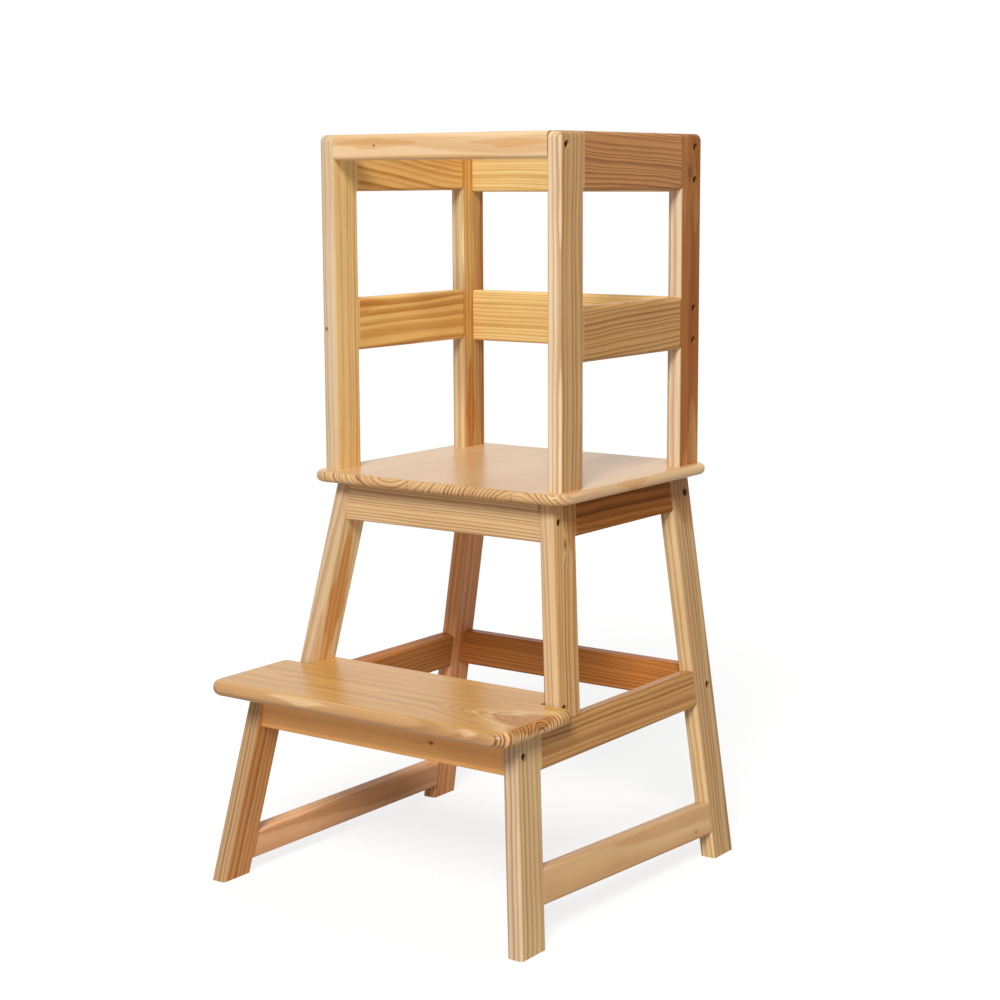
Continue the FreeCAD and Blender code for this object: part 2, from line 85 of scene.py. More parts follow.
class Sketch:
    """Short hand for drawing a node tree: each method adds a node and returns its output."""

    def __init__(self, tree: NodeTree) -> None:
        """Keep the tree that the nodes go into."""
        self.tree = tree

    def node(self, kind: str, **settings: object) -> Node:
        """Add a node.

        Args:
            kind: Blender's name for the node type.
            settings: Attributes to set on the node.

        Returns:
            The new node.
        """
        node = self.tree.nodes.new(kind)
        for name, value in settings.items():
            setattr(node, name, value)
        return node

    def feed(self, socket: Socket, source: Feed) -> None:
        """Link a source to an input, or set the input to a plain value.

        Args:
            socket: Input to feed.
            source: Output socket, number, tuple or nothing.
        """
        if isinstance(source, Socket):
            self.tree.links.new(source, socket)
        elif source is not None:
            socket.default_value = source

    def fill(self, node: Node, *first: Feed, **named: Feed) -> Node:
        """Feed a node's inputs.

        Args:
            node: Node to feed.
            first: Sources of its first inputs, in their order.
            named: Sources by input name, with underscores for spaces.

        Returns:
            The node.
        """
        for socket, source in zip(node.inputs, first):
            self.feed(socket, source)
        for name, source in named.items():
            self.feed(node.inputs[name.replace("_", " ")], source)
        return node

    def math(self, operation: str, *values: Feed, clamp: bool = False) -> Socket:
        """Add a Math node with one to three values."""
        node = self.node("ShaderNodeMath", operation=operation, use_clamp=clamp)
        return self.fill(node, *values).outputs[0]

    def add(self, first: Feed, second: Feed) -> Socket:
        """Add two values."""
        return self.math("ADD", first, second)

    def sub(self, first: Feed, second: Feed) -> Socket:
        """Take the second value from the first."""
        return self.math("SUBTRACT", first, second)

    def mul(self, first: Feed, second: Feed) -> Socket:
        """Multiply two values."""
        return self.math("MULTIPLY", first, second)

    def mul_add(self, first: Feed, second: Feed, third: Feed, clamp: bool = False) -> Socket:
        """Multiply two values and add the third."""
        return self.math("MULTIPLY_ADD", first, second, third, clamp=clamp)

    def hypot(self, first: Feed, second: Feed) -> Socket:
        """Give the length of two values that stand square to each other."""
        return self.math("SQRT", self.add(self.mul(first, first), self.mul(second, second)))

    def vector(self, operation: str, first: Feed, second: Feed = None, scale: Feed = None,
               output: str = "Vector") -> Socket:
        """Add a Vector Math node and return its vector, or its plain value."""
        node = self.node("ShaderNodeVectorMath", operation=operation)
        return self.fill(node, first, second, None, scale).outputs[output]

    def split(self, vector: Feed) -> List[Socket]:
        """Split a vector into its three parts."""
        return list(self.fill(self.node("ShaderNodeSeparateXYZ"), vector).outputs)

    def join(self, x: Feed, y: Feed, z: Feed) -> Socket:
        """Join three values into a vector."""
        return self.fill(self.node("ShaderNodeCombineXYZ"), x, y, z).outputs[0]

    def noise(self, vector: Feed, detail: float = 2.0, roughness: float = 0.5,
              scale: float = 1.0) -> Socket:
        """Add a smooth 3-D noise and return its value between 0 and 1."""
        node = self.node("ShaderNodeTexNoise", noise_dimensions="3D")
        return self.fill(node, Vector=vector, Scale=scale, Detail=detail,
                         Roughness=roughness).outputs["Fac"]

    def noise_line(self, value: Feed, scale: float) -> Socket:
        """Add a smooth noise along one value and return its value between 0 and 1."""
        node = self.node("ShaderNodeTexNoise", noise_dimensions="1D")
        return self.fill(node, W=value, Scale=scale, Detail=1.0).outputs["Fac"]

    def chance(self, value: Feed) -> Socket:
        """Add a random value between 0 and 1 for each number fed in."""
        node = self.node("ShaderNodeTexWhiteNoise", noise_dimensions="1D")
        return self.fill(node, W=value).outputs["Value"]

    def ramp(self, value: Feed, stops: Sequence[Pair]) -> Socket:
        """Add a ramp of greys.

        Args:
            value: Place on the ramp.
            stops: Place and brightness of each stop.

        Returns:
            Brightness at the place.
        """
        node = self.node("ShaderNodeValToRGB")
        elements = node.color_ramp.elements
        while len(elements) < len(stops):
            elements.new(0.5)
        for element, (place, grey) in zip(elements, stops):
            element.position = place
            element.color = (grey, grey, grey, 1.0)
        return self.fill(node, value).outputs[0]

    def mix(self, share: Feed, first: Feed, second: Feed, blend: str = "MIX") -> Socket:
        """Mix two colours and return the result."""
        node = self.node("ShaderNodeMix", data_type="RGBA", blend_type=blend)
        return self.fill(node, share, *(None,) * 5, first, second).outputs[2]

    def mix_number(self, share: Feed, first: Feed, second: Feed) -> Socket:
        """Mix two numbers and return the result."""
        node = self.node("ShaderNodeMix", data_type="FLOAT")
        return self.fill(node, share, None, first, second).outputs[0]

    def remap(self, value: Feed, low: float, high: float, to_low: float = 0.0,
              to_high: float = 1.0) -> Socket:
        """Map a value from one range to another, held at both ends."""
        node = self.node("ShaderNodeMapRange", clamp=True)
        return self.fill(node, value, low, high, to_low, to_high).outputs[0]

    def grain(self, place: Sequence[Socket], across: float, along: float,
              shift: Feed) -> Socket:
        """Turn a place into a noise's, by its patches per millimetre across and along."""
        x, y, z = place
        return self.join(self.mul(x, across), self.mul(y, across), self.mul_add(z, along, shift))

    def group(self, tree: NodeTree, **named: Feed) -> Node:
        """Place a node group and feed its inputs by name, with underscores for spaces."""
        return self.fill(self.node("ShaderNodeGroup", node_tree=tree), **named)

    def show(self, shader: Node, kind: str = "ShaderNodeOutputMaterial") -> None:
        """Lead a shader to the tree's output."""
        self.fill(self.node(kind), Surface=shader.outputs[0])


def new_material(name: str) -> Tuple[Material, Sketch]:
    """Start a material.

    Args:
        name: Name of the material.

    Returns:
        The material, and a sketch on its empty tree.
    """
    material = bpy.data.materials.new(name)
    material.use_nodes = True
    material.node_tree.nodes.clear()
    return material, Sketch(material.node_tree)


def new_object(name: str, data: bpy.types.ID) -> bpy.types.Object:
    """Put an object into the scene.

    Args:
        name: Name of the object.
        data: Its mesh, lamp or camera.

    Returns:
        The object.
    """
    item = bpy.data.objects.new(name, data)
    bpy.context.scene.collection.objects.link(item)
    return item


def finish_node(name: str, material: Material) -> None:
    """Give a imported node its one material.

    Args:
        name: Name of the node.
        material: Its finish.
    """
    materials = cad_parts[name].data.materials
    materials.clear()
    materials.append(material)


Group = Tuple[NodeTree, Sketch, NodeOutputs, NodeInputs]


def new_group(name: str, inputs: Dict[str, Feed], outputs: Sequence[str]) -> Group:
    """Start a shader node group with named sockets.

    Args:
        name: Name of the group.
        inputs: Default of each input; a triple makes a vector, a 4-tuple a colour.
        outputs: Names of the outputs, which are numbers apart from the one named Colour.

    Returns:
        The tree, a sketch on it, what it is given and what it makes.
    """
    tree = bpy.data.node_groups.new(name, "ShaderNodeTree")
    for label, default in inputs.items():
        parts = len(default) if isinstance(default, tuple) else 1
        kind = {1: "NodeSocketFloat", 3: "NodeSocketVector", 4: "NodeSocketColor"}[parts]
        socket = tree.interface.new_socket(name=label, in_out="INPUT", socket_type=kind)
        socket.default_value = default
    for label in outputs:
        kind = "NodeSocketColor" if label == "Colour" else "NodeSocketFloat"
        tree.interface.new_socket(name=label, in_out="OUTPUT", socket_type=kind)
    s = Sketch(tree)
    return tree, s, s.node("NodeGroupInput").outputs, s.node("NodeGroupOutput").inputs


class WoodGroups:
    """Shader groups that all the wood finishes share, each built once."""

    ORIGIN: Triple = (0.0, 0.0, 0.0)
    # Shift of a board's noises for each step of its seed.
    RING_SEED_STEP = 37.0
    FIBRE_SEED_STEP = 11.0
    # Millimetres over which a bend of the rings sets in.
    BEND_EASE = 40.0
    # Noise patches for each millimetre across and along the grain, and their share of Wander.
    BROAD_WANDER = (0.018, 0.006, 2.0)
    NARROW_WANDER = (0.06, 0.024, 0.34)
    # Noise patches for each ring, and how many rings they shift the count by.
    UNEVEN_RINGS = (0.33, 2.2)
    FAINTEST_RING = 0.45
    # Darkness of thin and of broad late wood, from a ring's inner edge to its outer one.
    THIN_BAND = ((0.0, 0.16), (0.12, 0.0), (0.36, 0.08), (0.66, 0.62), (0.84, 1.0),
                 (0.94, 0.94), (1.0, 0.16))
    BROAD_BAND = ((0.0, 0.12), (0.10, 0.0), (0.34, 0.10), (0.48, 0.80), (0.72, 0.92),
                  (0.95, 1.0), (1.0, 0.12))
    # Noise patches for each millimetre across and along the grain.
    STREAKS = (0.9, 0.014)
    SLOW_TONE = (0.035, 0.007)
    PORES = (3.2, 0.12)
    # Noise patches for each millimetre round a knot, and how far they move its edge.
    KNOT_UNEVEN = (0.35, 0.45)
    KNOT_RINGS = 17.0
    KNOT_FALL = -0.22
    # The same for patches of other wood and of painted shade, through, across and along the
    # board.
    FLAME_AND_SHADE_UNEVEN = ((0.08, 0.13, 0.025), 0.7)
    FLAME_AND_SHADE_EDGE = (0.78, 1.02)
    # Millimetres from a joint at which its line begins to fade and is gone.
    GLUE_LINE = (0.20, 0.65)
    WARM_TINT: Colour = (0.76, 0.60, 0.44, 1.0)
    STREAK_TINT: Colour = (0.62, 0.42, 0.26, 1.0)
    PORE_COLOUR: Colour = (0.20, 0.10, 0.04, 1.0)
    END_TINT: Colour = (0.60, 0.42, 0.28, 1.0)

    def __init__(self) -> None:
        """Build the groups."""
        self.rings = self._rings()
        self.fibre = self._fibre()
        self.knot = self._knot()
        self.flame = self._flame_and_shade()
        self.glue_joint = self._glue_joint()
        self.colour = self._colour()

    def _rings(self) -> NodeTree:
        """Growth rings round the log's heart, in the board's own axes.

        Returns:
            Group with a mask that is 1 in the dark late wood of each ring.
        """
        tree, s, given, made = new_group(
            "pine growth rings",
            {"Vector": self.ORIGIN, "Heart": (0.0, 60.0, 0.0), "Slope": self.ORIGIN,
             "Bend": self.ORIGIN, "Ring": 4.0, "Wander": 3.0, "Seed": 0.0, "Push": 0.0,
             "Band": 0.0, "Even": 0.0}, ["Late"])
        place = s.split(given["Vector"])
        heart = s.split(given["Heart"])
        slope = s.split(given["Slope"])
        bend_start, bend_rise, _ = s.split(given["Bend"])
        past = s.math("MAXIMUM", s.sub(place[2], bend_start), 0.0)
        eased = s.math("DIVIDE", s.mul(past, past), s.add(past, self.BEND_EASE))
        through, across = (s.sub(s.sub(place[i], heart[i]), s.mul(place[2], slope[i]))
                           for i in range(2))
        radius = s.hypot(s.sub(through, s.mul(bend_rise, eased)), across)
        shift = s.mul(given["Seed"], self.RING_SEED_STEP)
        for cells_across, cells_along, share in (self.BROAD_WANDER, self.NARROW_WANDER):
            wave = s.noise(s.grain(place, cells_across, cells_along, shift), 1.0)
            radius = s.mul_add(s.sub(wave, 0.5), s.mul(given["Wander"], share), radius)
        count = s.math("DIVIDE", s.add(radius, given["Push"]), given["Ring"])
        scale, reach = self.UNEVEN_RINGS
        phase = s.mul_add(s.sub(s.noise_line(s.add(count, shift), scale), 0.5), reach, count)
        part = s.math("FRACT", phase)
        late = s.mix_number(given["Band"], s.ramp(part, self.THIN_BAND),
                            s.ramp(part, self.BROAD_BAND))
        drawn = s.chance(s.add(s.math("FLOOR", phase), given["Seed"]))
        level = s.mul_add(drawn, 1.0 - self.FAINTEST_RING, self.FAINTEST_RING)
        s.feed(made["Late"], s.mul(late, s.mix_number(given["Even"], level, 1.0)))
        return tree

    def _fibre(self) -> NodeTree:
        """Fine streaks along the grain, slow changes of tone, and short dark pores.

        Returns:
            Group with the three masks, each between 0 and 1.
        """
        tree, s, given, made = new_group("wood fibre", {"Vector": self.ORIGIN, "Seed": 0.0},
                                         ["Streak", "Tone", "Pore"])
        place = s.split(given["Vector"])
        shift = s.mul(given["Seed"], self.FIBRE_SEED_STEP)
        s.feed(made["Streak"], s.noise(s.grain(place, *self.STREAKS, shift), 3.0, 0.6))
        s.feed(made["Tone"], s.noise(s.grain(place, *self.SLOW_TONE, shift)))
        pores = s.noise(s.grain(place, *self.PORES, shift), 1.0)
        s.feed(made["Pore"], s.remap(pores, 0.62, 0.78))
        return tree

    def _knot(self) -> NodeTree:
        """Knot: a dark eye with its own rings, which the board's rings flow round.

        Returns:
            Group with the eye's mask, its shade, and the push on the board's rings.
        """
        tree, s, given, made = new_group(
            "knot", {"Vector": self.ORIGIN, "Centre": self.ORIGIN, "Size": (4.0, 4.0, 6.0),
                     "Strength": 8.0}, ["Eye", "Shade", "Push"])
        offset = s.vector("SUBTRACT", given["Vector"], given["Centre"])
        scaled = s.vector("DIVIDE", offset, given["Size"])
        patches, share = self.KNOT_UNEVEN
        uneven = s.sub(s.noise(s.vector("SCALE", offset, scale=patches)), 0.5)
        reach = s.add(s.vector("LENGTH", scaled, output="Value"), s.mul(uneven, share))
        s.feed(made["Eye"], s.remap(reach, 0.70, 1.15, 1.0, 0.0))
        waves = s.mul_add(s.math("SINE", s.mul(reach, self.KNOT_RINGS)), 0.5, 0.5)
        core = s.remap(reach, 0.30, 1.0, 1.0, 0.45)
        s.feed(made["Shade"], s.mul(core, s.mul_add(waves, 0.3, 0.7)))
        fall = s.math("EXPONENT", s.mul(s.mul(reach, reach), self.KNOT_FALL))
        s.feed(made["Push"], s.mul(fall, given["Strength"]))
        return tree

    def _flame_and_shade(self) -> NodeTree:
        """Long patch of another tone, pointed along the grain, with an uneven edge; some are
        painted shade.

        Returns:
            Group with the patch's mask.
        """
        tree, s, given, made = new_group(
            "flame", {"Vector": self.ORIGIN, "Centre": self.ORIGIN, "Size": (20.0, 5.0, 40.0)},
            ["Mask"])
        offset = s.vector("SUBTRACT", given["Vector"], given["Centre"])
        x, y, z = s.split(s.vector("DIVIDE", offset, given["Size"]))
        reach = s.add(s.hypot(x, y), s.math("ABSOLUTE", z))
        patches, share = self.FLAME_AND_SHADE_UNEVEN
        uneven = s.sub(s.noise(s.vector("MULTIPLY", offset, patches), 1.0), 0.5)
        reach = s.mul_add(uneven, share, reach)
        s.feed(made["Mask"], s.remap(reach, *self.FLAME_AND_SHADE_EDGE, 1.0, 0.0))
        return tree

    def _glue_joint(self) -> NodeTree:
        """Glue joint between two strips of a board.

        Returns:
            Group that tells whether a point is past the joint, and a mask of the fine line.
        """
        tree, s, given, made = new_group("glue joint", {"Vector": self.ORIGIN, "Start": 0.0},
                                         ["Past", "Line"])
        gap = s.sub(s.split(given["Vector"])[1], given["Start"])
        s.feed(made["Past"], s.math("GREATER_THAN", gap, 0.0))
        s.feed(made["Line"], s.remap(s.math("ABSOLUTE", gap), *self.GLUE_LINE, 1.0, 0.0))
        return tree

    def _colour(self) -> NodeTree:
        """Pine's colour, gloss and relief from its masks.

        Returns:
            Group with the colour, the roughness and the height.
        """
        tree, s, given, made = new_group(
            "pine colour",
            {"Early": (0.8, 0.5, 0.3, 1.0), "Late": (0.5, 0.25, 0.1, 1.0), "Late Mask": 0.0,
             "Streak": 0.5, "Tone": 0.5, "Pore": 0.0, "Tone Share": 0.3, "Streak Share": 0.2,
             "End Shade": 0.0, "Gloss": 0.42}, ["Colour", "Roughness", "Height"])
        late, streak, pore = given["Late Mask"], given["Streak"], given["Pore"]
        warm = s.mul(s.remap(given["Tone"], 0.32, 0.68), given["Tone Share"])
        dark = s.mul(s.remap(streak, 0.40, 0.70), given["Streak Share"])
        colour = s.mix(late, given["Early"], given["Late"])
        colour = s.mix(warm, colour, self.WARM_TINT, "MULTIPLY")
        colour = s.mix(dark, colour, self.STREAK_TINT, "MULTIPLY")
        colour = s.mix(s.mul(pore, 0.10), colour, self.PORE_COLOUR)
        s.feed(made["Colour"], s.mix(given["End Shade"], colour, self.END_TINT, "MULTIPLY"))
        rough = s.mul_add(late, -0.04, s.mul_add(s.sub(streak, 0.5), 0.10, given["Gloss"]))
        s.feed(made["Roughness"], s.mul_add(given["End Shade"], 0.30, rough, clamp=True))
        height = s.mul_add(late, 0.7, s.mul(streak, 0.30))
        s.feed(made["Height"], s.mul_add(pore, -0.5, height))
        return tree


def leg_lie(side: int, lean: float) -> Tuple[Triple, Triple]:
    """Give how a leg lies in the right (1) or left (-1) side frame, with its lean back."""
    return ((-side * math.sin(SIDE_LEAN) * math.cos(lean), math.sin(lean),
             math.cos(SIDE_LEAN) * math.cos(lean)), rail_lie(side)[1])


def rail_lie(side: int) -> Tuple[Triple, Triple]:
    """Give how a rail lies in the right (1) or left (-1) side frame."""
    return (0.0, 1.0, 0.0), (side * math.cos(SIDE_LEAN), 0.0, math.sin(SIDE_LEAN))


class Lie(Enum):
    """How a board lies: the way along its grain and the way its broad face looks."""

    UPRIGHT_SIDE = ((0.0, 0.0, 1.0), (1.0, 0.0, 0.0))
    DEEP_SIDE = ((0.0, 1.0, 0.0), (1.0, 0.0, 0.0))
    CROSS = ((1.0, 0.0, 0.0), (0.0, -1.0, 0.0))
    LEVEL_CROSS = ((1.0, 0.0, 0.0), (0.0, 0.0, 1.0))
    LEVEL_DEEP = ((0.0, 1.0, 0.0), (0.0, 0.0, 1.0))
    LEAN_LEG_RIGHT = leg_lie(1, 0.0)
    LEAN_LEG_LEFT = leg_lie(-1, 0.0)
    FRONT_LEG_RIGHT = leg_lie(1, LEG_LEAN)
    FRONT_LEG_LEFT = leg_lie(-1, LEG_LEAN)
    LEAN_RAIL_RIGHT = rail_lie(1)
    LEAN_RAIL_LEFT = rail_lie(-1)

    def turn(self) -> Matrix:
        """Turn from the stool's axes to the board's: x through it, y across, z along.

        Returns:
            Matrix whose rows are the board's axes.
        """
        along = Vector(self.value[0]).normalized()
        face = Vector(self.value[1]).normalized()
        across = along.cross(face).normalized()
        return Matrix((across.cross(along).normalized(), across, along))


@dataclass(frozen=True)
class Knot:
    """Knot in a board, with its place in the stool's axes and its size in millimetres."""

    place: Triple
    size: Triple = (5.0, 3.0, 5.0)
    strength: float = 6.0


@dataclass(frozen=True)
class FlameAndShade:
    """Long patch of paler or darker wood, such as sapwood or resin; some patches are painted
    shade where the board lies in shadow.

    Place is its middle in the stool's axes, size its reach in millimetres through, across
    and along the board, and tint the share of each colour that it lets through.
    """

    place: Triple
    size: Triple
    tint: Triple
    share: float = 1.0


@dataclass(frozen=True)
class Sawn:
    """How a board was sawn from its log, in millimetres on the board's own axes.

    Heart gives the log's heart through and across the board from its middle, and slope how
    far the heart drifts for each millimetre along the board. Ring is the rings' width, and
    wander how far they stray. Bend is where along the board the heart starts to rise to its
    face, and how steeply. Band widens the late wood into a broad stripe, and even takes away
    the difference between one ring and the next.
    """

    lie: Lie
    heart: Pair
    slope: Pair = (0.0, 0.0)
    ring: float = 4.0
    wander: float = 3.0
    seed: float = 0.0
    band: float = 0.0
    even: float = 0.0
    bend: Pair = (0.0, 0.0)


@dataclass(frozen=True)
class Stave:
    """One strip of an edge-glued board, from its start across the board to the next strip."""

    start: float
    heart: Pair
    seed: float
    shade: float = 0.0


@dataclass(frozen=True)
class PineFinish:
    """Clear satin varnish on pine: the wood's two colours, in 0 to 255 steps, and its gloss.

    Edge is the early wood's colour on the board's narrow edges, where they differ from its broad
    faces; it is partly the edge grain's own paler tone and partly a painted highlight, since it
    reaches round the rounded arrises. It begins edge_from millimetres from the board's middle,
    past the bolt holes.
    Contrast is how strongly the rings show on the faces, and end_contrast on the ends. The
    shares tell how much slow changes of tone and fine streaks show.
    """

    early: Triple
    late: Triple
    edge: Optional[Triple] = None
    edge_from: float = 15.0
    contrast: float = 1.0
    end_contrast: float = 1.0
    tone_share: float = 0.30
    streak_share: float = 0.22
    end_shade: float = 0.40
    gloss: float = 0.42
    coat: float = 0.03
    sheen: float = 0.20

    EDGE_FADE = 2.0
    # How far a point must look across or along the board for each change to set in fully; the
    # edge colour's early start paints a highlight on the rounded arrises.
    EDGE_AND_HIGHLIGHT_FACING = (0.30, 0.62)
    END_FACING = (0.12, 0.60)
    END_SHADE_FACING = (0.80, 0.97)
    STRIP_SHADE = (214, 172, 130)
    # Colour and share of the glue lines, of a knot's eye and of its core.
    GLUE = ((150, 100, 60), 0.55)
    EYE = ((178, 108, 60), 0.60)
    CORE = ((96, 52, 28), 0.80)
    BUMP_DEPTH = 0.12 * MM

    def _place(self, s: Sketch, middle: Vector, turn: Matrix) -> Tuple[Socket, Socket, Socket]:
        """Give a point's place on the board's own axes, and how far it looks along and across.

        Args:
            s: Sketch of the material's tree.
            middle: The board's middle.
            turn: Turn from the stool's axes to the board's.

        Returns:
            The place in millimetres, the share along, and the share across.
        """
        here = s.node("ShaderNodeTexCoord").outputs
        mapping = s.fill(s.node("ShaderNodeMapping", vector_type="POINT"),
                         Vector=here["Object"], Location=tuple(-(turn @ middle) / MM),
                         Rotation=tuple(turn.to_euler("XYZ")), Scale=(1.0 / MM,) * 3)
        along, across = (s.math("ABSOLUTE", s.vector("DOT_PRODUCT", here["Normal"], tuple(axis),
                                                     output="Value"))
                         for axis in (turn[2], turn[1]))
        return mapping.outputs["Vector"], along, across

    def material(self, board: "Board", groups: WoodGroups) -> Material:
        """Make the finish for one board.

        Args:
            board: The board, with its sawing, knots, strips and patches, some of them painted
                shade.
            groups: Shared shader groups.

        Returns:
            The material.
        """
        material, s = new_material("pine_" + board.node)
        low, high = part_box(board.node)
        middle = (Vector(low) + Vector(high)) / 2
        sawn = board.sawn
        turn = sawn.lie.turn()
        place, facing, sideways = self._place(s, middle, turn)

        def own(spot: Triple) -> Tuple[float, ...]:
            """Give a spot in millimetres on the board's own axes."""
            return tuple((turn @ (Vector(spot) - middle)) / MM)

        push = eye = core = 0.0
        for knot in board.knots:
            mark = s.group(groups.knot, Vector=place, Centre=own(knot.place), Size=knot.size,
                           Strength=knot.strength).outputs
            push = s.add(push, mark["Push"])
            eye = s.math("MAXIMUM", eye, mark["Eye"])
            core = s.math("MAXIMUM", core, s.mul(mark["Eye"], mark["Shade"]))

        heart_x, heart_y = sawn.heart
        seed, shade, line = sawn.seed, 0.0, 0.0
        last = Stave(0.0, sawn.heart, sawn.seed)
        for stave in board.staves:
            joint = s.group(groups.glue_joint, Vector=place, Start=stave.start).outputs
            past = joint["Past"]
            heart_x = s.mul_add(past, stave.heart[0] - last.heart[0], heart_x)
            heart_y = s.mul_add(past, stave.heart[1] - last.heart[1], heart_y)
            seed = s.mul_add(past, stave.seed - last.seed, seed)
            shade = s.mul_add(past, stave.shade - last.shade, shade)
            line = s.math("MAXIMUM", line, joint["Line"])
            last = stave
        heart = s.join(heart_x, heart_y, 0.0) if board.staves else (*sawn.heart, 0.0)

        rings = s.group(groups.rings, Vector=place, Heart=heart, Slope=(*sawn.slope, 0.0),
                        Ring=sawn.ring, Wander=sawn.wander, Seed=seed, Push=push,
                        Band=sawn.band, Even=sawn.even, Bend=(*sawn.bend, 0.0))
        fibre = s.group(groups.fibre, Vector=place, Seed=seed).outputs
        contrast = s.remap(facing, *self.END_FACING, self.contrast, self.end_contrast)
        wood = s.group(groups.colour, Early=srgb(self.early), Late=srgb(self.late),
                       Late_Mask=s.mul(rings.outputs["Late"], contrast),
                       Streak=fibre["Streak"], Tone=fibre["Tone"], Pore=fibre["Pore"],
                       Tone_Share=self.tone_share, Streak_Share=self.streak_share,
                       End_Shade=s.remap(facing, *self.END_SHADE_FACING, 0.0, self.end_shade),
                       Gloss=self.gloss).outputs
        colour = wood["Colour"]
        # Edge colour: partly the edge grain's own paler tone, partly a painted highlight on the
        # rounded arrises.
        if self.edge is not None:
            paler = tuple(rim / face for rim, face in zip(srgb(self.edge), srgb(self.early)))
            outer = s.remap(s.math("ABSOLUTE", s.split(place)[1]), self.edge_from,
                            self.edge_from + self.EDGE_FADE)
            colour = s.mix(s.mul(s.remap(sideways, *self.EDGE_AND_HIGHLIGHT_FACING), outer), colour,
                           s.vector("MULTIPLY", colour, paler[:3]))
        for flame in board.flames_and_shade:
            patch = s.group(groups.flame, Vector=place, Centre=own(flame.place),
                            Size=flame.size)
            colour = s.mix(s.mul(patch.outputs["Mask"], flame.share), colour,
                           s.vector("MULTIPLY", colour, flame.tint))
        if board.staves:
            colour = s.mix(shade, colour, srgb(self.STRIP_SHADE), "MULTIPLY")
        for mask, (steps, share), blend in ((line, self.GLUE, "MULTIPLY"),
                                            (eye, self.EYE, "MIX"), (core, self.CORE, "MIX")):
            if isinstance(mask, Socket):
                colour = s.mix(s.mul(mask, share), colour, srgb(steps), blend)
        bump = s.fill(s.node("ShaderNodeBump"), Strength=0.20, Distance=self.BUMP_DEPTH,
                      Height=wood["Height"])
        s.show(s.fill(s.node("ShaderNodeBsdfPrincipled"), Base_Color=colour,
                      Roughness=wood["Roughness"], IOR=1.45, Specular_IOR_Level=self.sheen,
                      Coat_Weight=self.coat, Coat_Roughness=0.22,
                      Normal=bump.outputs["Normal"]))
        return material


@dataclass(frozen=True)
class Board:
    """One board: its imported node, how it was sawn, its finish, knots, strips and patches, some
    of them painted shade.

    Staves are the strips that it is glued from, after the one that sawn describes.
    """

    node: str
    sawn: Sawn
    finish: PineFinish
    knots: Tuple[Knot, ...] = ()
    staves: Tuple[Stave, ...] = ()
    flames_and_shade: Tuple[FlameAndShade, ...] = ()

    def dress(self, groups: WoodGroups) -> None:
        """Give the board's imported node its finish."""
        finish_node(self.node, self.finish.material(self, groups))
        log.info("%s: ring %.1f mm", self.node, self.sawn.ring)


@dataclass
class BoardSet:
    """Boards of one part of the stool."""

    boards: Tuple[Board, ...] = ()

    def dress(self, groups: WoodGroups) -> None:
        """Give every board its finish."""
        for board in self.boards:
            board.dress(groups)


